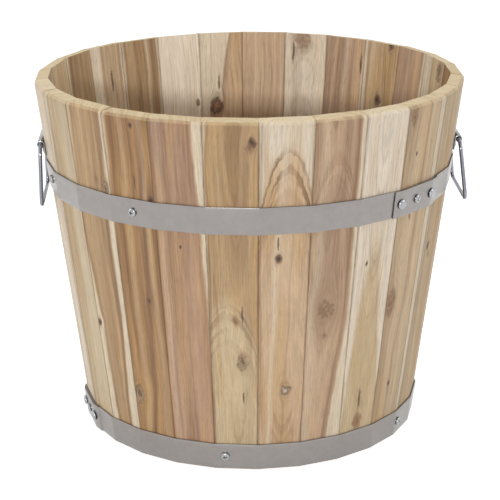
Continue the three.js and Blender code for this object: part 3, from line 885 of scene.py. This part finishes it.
def board_mesh(number, radius, width):
    """A board of the round base, lying along its own Z, with its top at the lowest Y."""
    middle = (number - (BOARD_COUNT + 1) / 2) * width
    left = -radius if number == 1 else middle - width / 2 + BOARD_JOINT / 2
    right = radius if number == BOARD_COUNT else middle + width / 2 - BOARD_JOINT / 2
    shares = [0.5 - 0.5 * math.cos(math.pi * i / ARC_STEPS) for i in range(ARC_STEPS + 1)]
    xs = [left + (right - left) * share for share in shares]
    far = [(x - middle, math.sqrt(max(radius * radius - x * x, 0))) for x in xs]
    outline = far + [(x, -y) for x, y in reversed(far)]
    outline = list(dict.fromkeys(outline))
    rings = [[(x, depth, y) for x, y in outline] for depth in (-BASE_THICKNESS, 0)]
    return loft(f"base_board_{number}", rings, bevel=BOARD_EDGE), middle


def add_base():
    radius = inner_face(BASE_HEIGHT) + GROOVE_DEPTH - GROOVE_CLEARANCE
    width = 2 * radius / BOARD_COUNT
    for number in range(1, BOARD_COUNT + 1):
        node = f"base_board_{number}"
        mesh, middle = board_mesh(number, radius, width)
        if 1 < number < BOARD_COUNT:
            wide, past = DRAIN_RADIUS + DRAIN_FLARE + CUT_PAST, BASE_THICKNESS + CUT_PAST
            profile = [(0, -CUT_PAST), (DRAIN_RADIUS, -CUT_PAST)]
            profile += [(DRAIN_RADIUS, BASE_THICKNESS - DRAIN_FLARE), (wide, past), (0, past)]
            cutters = []
            for side in (-1, 1):
                hole = turned("hole", profile, HOLE_SIDES)
                hole.transform(Matrix.Translation((0, 0, side * DRAIN_SPACING / 2))
                               @ Matrix.Rotation(math.pi / 2, 4, "X"))
                cutters.append(hole)
            mesh = carved(node, mesh, cutters)
        lying = Matrix(((1, 0, 0, middle), (0, 0, 1, 0), (0, -1, 0, BASE_HEIGHT), (0, 0, 0, 1)))
        figure = Figure("brown", 40 + number, pith=(6 * number - 14, -28), slope=0.03, contrast=0.9,
                        knots=((12 - 7 * number, 40 - 35 * number, 4.0, "eye"),))
        add_piece(node, mesh, wood_material(node, figure, BASE_THICKNESS), lying)


# ---- hoops

BEND_SOFTNESS = 0.35  # how gently a hoop bends at a joint, in degrees
BEND_PLACES = (0.0, 0.25, 0.55, 1.0, 1.7, 3.0, 4.9)  # rings beside each bend, in degrees
STEP_RINGS = 8
HOOP_EDGE = 0.00028
HOOP_ROWS = 6
HOOP_LOOSENESS = 0.00006  # how far a hoop stands off, on average, and how often that changes
LOOSE_AROUND = 9
LOOSE_DOWN = 90
LOOSE_SHIFT = 40


def hoop_middle(top):
    return top - HOOP_WIDTH / 2 * math.cos(LEAN)


def turn_of(length, top):
    """The turn that a length takes round the barrel, at a hoop, in degrees."""
    return math.degrees(length / outer_face(hoop_middle(top)))


def hoop_mesh(name, top, lap_joint):
    """A strip bent at every joint of the staves, which goes once round and laps over its start."""
    edge = turn_of(RIVET_EDGE, top)
    inner_end = (lap_joint + 1) * PITCH + edge
    outer_end = lap_joint * PITCH - edge - 360
    step_head = inner_end + turn_of(LAP_CLEARANCE, top) - 360
    step_foot = step_head + turn_of(LAP_STEP, top)
    half = PITCH / 2
    reach = math.sqrt(half * half + BEND_SOFTNESS ** 2) - BEND_SOFTNESS

    angles = {inner_end, outer_end, step_foot, step_head}
    for joint in range(math.floor(outer_end / PITCH) - 1, math.ceil(inner_end / PITCH) + 2):
        for aside in BEND_PLACES:
            angles.update((joint * PITCH - aside, joint * PITCH + aside))
        angles.add((joint + 0.5) * PITCH)
    angles.update(step_head + (step_foot - step_head) * i / STEP_RINGS for i in range(STEP_RINGS))
    angles = sorted((a for a in angles if outer_end <= a <= inner_end), reverse=True)

    def ring(angle):
        climb = min(max((step_foot - angle) / (step_foot - step_head), 0), 1)
        climb = climb * climb * (3 - 2 * climb)
        seat = SEAT_GAP + climb * (HOOP_THICKNESS + LAP_GAP)
        from_bend = abs(angle / PITCH - round(angle / PITCH)) * PITCH
        soft = half * (math.sqrt(from_bend ** 2 + BEND_SOFTNESS ** 2) - BEND_SOFTNESS) / reach
        across = math.cos(math.radians(half - soft))
        turn = math.radians(angle)
        corners = [(HOOP_WIDTH * i / HOOP_ROWS, HOOP_THICKNESS) for i in range(HOOP_ROWS + 1)]
        corners += [(HOOP_WIDTH * i / HOOP_ROWS, 0) for i in range(HOOP_ROWS, -1, -1)]
        points = []
        for down, out in corners:
            sine, cosine = math.sin(turn) * LOOSE_AROUND, math.cos(turn) * LOOSE_AROUND
            spot = Vector((cosine, sine, down * LOOSE_DOWN + top * LOOSE_SHIFT))
            loose = HOOP_LOOSENESS * (1 + noise.noise(spot))
            lift = seat + out + loose
            radius = (outer_face(top) - down * math.sin(LEAN) + lift * math.cos(LEAN)) / across
            z = top - down * math.cos(LEAN) - lift * math.sin(LEAN)
            points.append((radius * math.sin(turn), -radius * math.cos(turn), z))
        return points

    return loft(name, [ring(angle) for angle in angles], bevel=HOOP_EDGE)


# ---- fasteners

HEAD_SIDES = 48
DOME_STEPS = 10
DOME_ROUND = 0.0002  # the small round at a head's foot
THREAD_PITCH = 0.0016
THREAD_ROOT = 0.36  # its radius, for the shank's diameter
SCREW_POINT = 0.003
FIRST_THREAD = 0.0006
THREAD_RUNOUT = 0.0005
RECESS_FOOT = 0.5  # how wide a cross recess is at its foot, for its top
RECESS_PAST = 0.0005  # how far its cutter reaches past the head
HOOP_SCREW = {"head": 0.008, "height": 0.0023, "rim": 0.0009, "shank": 0.004, "length": 0.012,
              "slot": 0.0046, "slot_width": 0.0011, "slot_depth": 0.0014}
PLATE_SCREW = {"head": 0.0066, "height": 0.0019, "rim": 0.0007, "shank": 0.0034, "length": 0.010,
               "slot": 0.0038, "slot_width": 0.0009, "slot_depth": 0.0011}
RIVET_SHANK = 0.0048
RIVET_HEAD = 0.0096
RIVET_HEAD_HEIGHT = 0.0023
RIVET_HEAD_RIM = 0.0004
RIVET_TAIL = 0.0074
RIVET_TAIL_HEIGHT = 0.0014
RIVET_TAIL_EASE = 0.0005
RIVET_REACH = LAP_SEAT + SEAT_GAP + RIVET_TAIL / 2 * math.tan(HALF_PITCH)


def dome(diameter, rim, height):
    """A domed head's outline from its foot to its top, with a small round at the foot."""
    radius = diameter / 2
    outline = [(radius - DOME_ROUND, 0), (radius, DOME_ROUND)]
    for step in range(DOME_STEPS):
        turn = math.pi / 2 * step / DOME_STEPS
        outline.append((radius * math.cos(turn) ** 0.9, rim + (height - rim) * math.sin(turn)))
    outline.append((0, height))
    return outline


def rivet_mesh():
    """A domed head, a plain shank and a flattened tail inside the staves."""
    tail, end = RIVET_TAIL / 2, -RIVET_REACH - RIVET_TAIL_HEIGHT
    outline = [(0, end), (tail - RIVET_TAIL_EASE, end), (tail, -RIVET_REACH - RIVET_TAIL_HEIGHT / 2),
               (tail, -RIVET_REACH), (RIVET_SHANK / 2, -RIVET_REACH), (RIVET_SHANK / 2, 0)]
    return turned("rivet", outline + dome(RIVET_HEAD, RIVET_HEAD_RIM, RIVET_HEAD_HEIGHT), HEAD_SIDES)


def screw_mesh(name, size):
    """A pan head with a cross recess on a pointed, threaded shank."""
    shank, root, length = size["shank"] / 2, size["shank"] * THREAD_ROOT, size["length"]
    thread = [(0, -length)]
    height = -length + FIRST_THREAD
    while height < -THREAD_PITCH * 1.5:
        taper = min(1.0, (height + length) / SCREW_POINT)
        thread.append((root * taper, height))
        thread.append((shank * taper, height + THREAD_PITCH * 0.5))
        height += THREAD_PITCH
    thread += [(root, height), (shank, height + THREAD_RUNOUT), (shank, 0)]
    body = turned(name, thread + dome(size["head"], size["rim"], size["height"]), HEAD_SIDES)
    long, wide = size["slot"] / 2, size["slot_width"] / 2
    plus = [(long, -wide), (long, wide), (wide, wide), (wide, long), (-wide, long), (-wide, wide),
            (-long, wide), (-long, -wide), (-wide, -wide), (-wide, -long), (wide, -long), (wide, -wide)]
    rings = []
    top = size["height"]
    for share, z in ((RECESS_FOOT, top - size["slot_depth"]), (1.0, top + RECESS_PAST)):
        rings.append([(x * share, y * share, z) for x, y in plus])
    return carved(name, body, [loft("recess", rings)])


def add_hoop(name, top, lap_joint, screw_angles, rivet, screw):
    add_metal(name, hoop_mesh(name, top, lap_joint), HOOP_STEEL)
    height = hoop_middle(top)
    for i in (0, 1):
        place = on_wall((lap_joint + i) * PITCH, height, LAP_SEAT + SEAT_GAP)
        add_metal(f"{name}_rivet_{i + 1}", rivet.copy(), ZINC, place)
    chance = random.Random(name)
    for i, angle in enumerate([(lap_joint + 0.5) * PITCH, *screw_angles]):
        place = on_wall(angle, height, (LAP_SEAT if i == 0 else HOOP_SEAT) + SEAT_GAP)
        spin = Matrix.Rotation(chance.uniform(0, math.pi / 2), 4, "Z")
        add_metal(f"{name}_screw_{i + 1}", screw.copy(), ZINC, place @ spin)


# ---- handles

KNUCKLE_STEPS = 48
PLATE_EDGE = 0.0003
WIRE_SIDES = 24
WIRE_BEND_STEPS = 14
WIRE_CHAMFER = 0.0004
PLATE_SCREW_TURNS = (0.4, 1.1)
WIRE_ROUND = WIRE_RADIUS * math.cos(math.pi / 10)  # a round wire inside the model's ten-sided one
PLATE_FRAME = Matrix(((0, -1, 0, 0), (0, 0, -1, 0), (1, 0, 0, 0), (0, 0, 0, 1)))


def plate_mesh(name):
    """Sheet whose top is rolled round the wire. X is away from the wood, Y up it, Z along the hinge."""
    end = math.pi - KNUCKLE_TURN
    turns = [math.pi + (end - math.pi) * i / KNUCKLE_STEPS for i in range(KNUCKLE_STEPS + 1)]
    section = [(-KNUCKLE_INNER, -PLATE_DROP)]
    section += [(KNUCKLE_INNER * math.cos(t), KNUCKLE_INNER * math.sin(t)) for t in turns]
    section += [(KNUCKLE_OUTER * math.cos(t), KNUCKLE_OUTER * math.sin(t)) for t in reversed(turns)]
    section += [(-KNUCKLE_OUTER, -PLATE_DROP)]
    half = PLATE_WIDTH / 2
    rings = [[(x, y, along) for x, y in section] for along in (-half, half)]
    return loft(name, rings, bevel=PLATE_EDGE)


def rounded_line(corners, radii):
    """The points of a line whose inner corners are rounded, each with its own radius."""
    points = [corners[0]]
    for i, radius in enumerate(radii):
        corner = corners[i + 1]
        back = (corners[i] - corner).normalized()
        ahead = (corners[i + 2] - corner).normalized()
        half = back.angle(ahead) / 2
        middle = corner + (back + ahead).normalized() * (radius / math.sin(half))
        spoke = corner + back * (radius / math.tan(half)) - middle
        axis = ahead.cross(back).normalized()
        for step in range(WIRE_BEND_STEPS + 1):
            turn = (math.pi - 2 * half) * step / WIRE_BEND_STEPS
            points.append(Matrix.Rotation(turn, 3, axis) @ spoke + middle)
    points.append(corners[-1])
    return points


def bail_mesh(name):
    """Round wire in the plane x = 0, hanging from its hinge axis, which is Y. Its legs spread a little."""
    straight_end = PLATE_WIDTH / 2 + BAIL_END_PLAY
    grip_half = GRIP_WIDTH / 2
    spread = math.atan((grip_half - straight_end - SHOULDER_RADIUS) / BAIL_DROP)
    top_half = straight_end + SHOULDER_RADIUS * math.tan(math.pi / 4 - spread / 2)
    half = [(WIRE_END_GAP / 2, 0), (top_half, 0), (grip_half, -BAIL_DROP)]
    other = [(-y, z) for y, z in reversed(half)]
    corners = [Vector((0, y, z)) for y, z in half + other]
    path = rounded_line(corners, [SHOULDER_RADIUS, GRIP_CORNER_RADIUS, GRIP_CORNER_RADIUS, SHOULDER_RADIUS])
    outwards = Vector((1, 0, 0))
    widths = [WIRE_ROUND] * len(path)
    for last, inner in ((0, 1), (-1, -2)):
        step = (path[inner] - path[last]).normalized() * WIRE_CHAMFER
        place = 1 if last == 0 else len(path) - 1
        path.insert(place, path[last] + step)
        widths.insert(place, WIRE_ROUND)
        widths[last] = WIRE_ROUND - WIRE_CHAMFER
    rings = []
    for i, point in enumerate(path):
        before, after = path[max(i - 1, 0)], path[min(i + 1, len(path) - 1)]
        sideways = (after - before).cross(outwards).normalized()
        turns = [2 * math.pi * s / WIRE_SIDES for s in range(WIRE_SIDES)]
        rings.append([point + widths[i] * (outwards * math.cos(t) + sideways * math.sin(t)) for t in turns])
    return loft(name, rings)


def add_handle(side, angle, screw):
    axis_lift = SEAT_GAP + KNUCKLE_OUTER
    wall_height = PIVOT_HEIGHT + axis_lift * math.sin(LEAN)
    hinge = on_wall(angle, wall_height, axis_lift)
    node = side + "_handle_plate"
    add_metal(node, plate_mesh(node), ZINC, hinge @ PLATE_FRAME)
    screw_height = wall_height - PLATE_SCREW_DROP * math.cos(LEAN)
    for i, hand in enumerate((-1, 1)):
        seat = PLATE_SHEET + 2 * SEAT_GAP
        place = on_wall(angle, screw_height, seat, aside=hand * PLATE_SCREW_SPACING / 2)
        spin = Matrix.Rotation(PLATE_SCREW_TURNS[i], 4, "Z")
        add_metal(f"{side}_plate_screw_{i + 1}", screw.copy(), ZINC, place @ spin)
    node = side + "_handle_bail"
    upright = Matrix.Translation(hinge.translation) @ turned_to(angle)
    swing = Matrix.Rotation(-math.radians(SWINGS[side]), 4, "Y")
    add_metal(node, bail_mesh(node), WIRE_ZINC, upright @ swing, side + "_bail")


# ---- assembly

add_camera()
add_studio()
add_floor()
add_staves()
add_base()
rivet_shape = rivet_mesh()
hoop_screw_shape = screw_mesh("hoop_screw", HOOP_SCREW)
plate_screw_shape = screw_mesh("plate_screw", PLATE_SCREW)
add_hoop("upper_hoop", UPPER_HOOP_TOP, UPPER_LAP_JOINT, UPPER_SCREW_ANGLES, rivet_shape, hoop_screw_shape)
add_hoop("lower_hoop", LOWER_HOOP_TOP, LOWER_LAP_JOINT, LOWER_SCREW_ANGLES, rivet_shape, hoop_screw_shape)
add_handle("left", -90, plate_screw_shape)
add_handle("right", 90, plate_screw_shape)
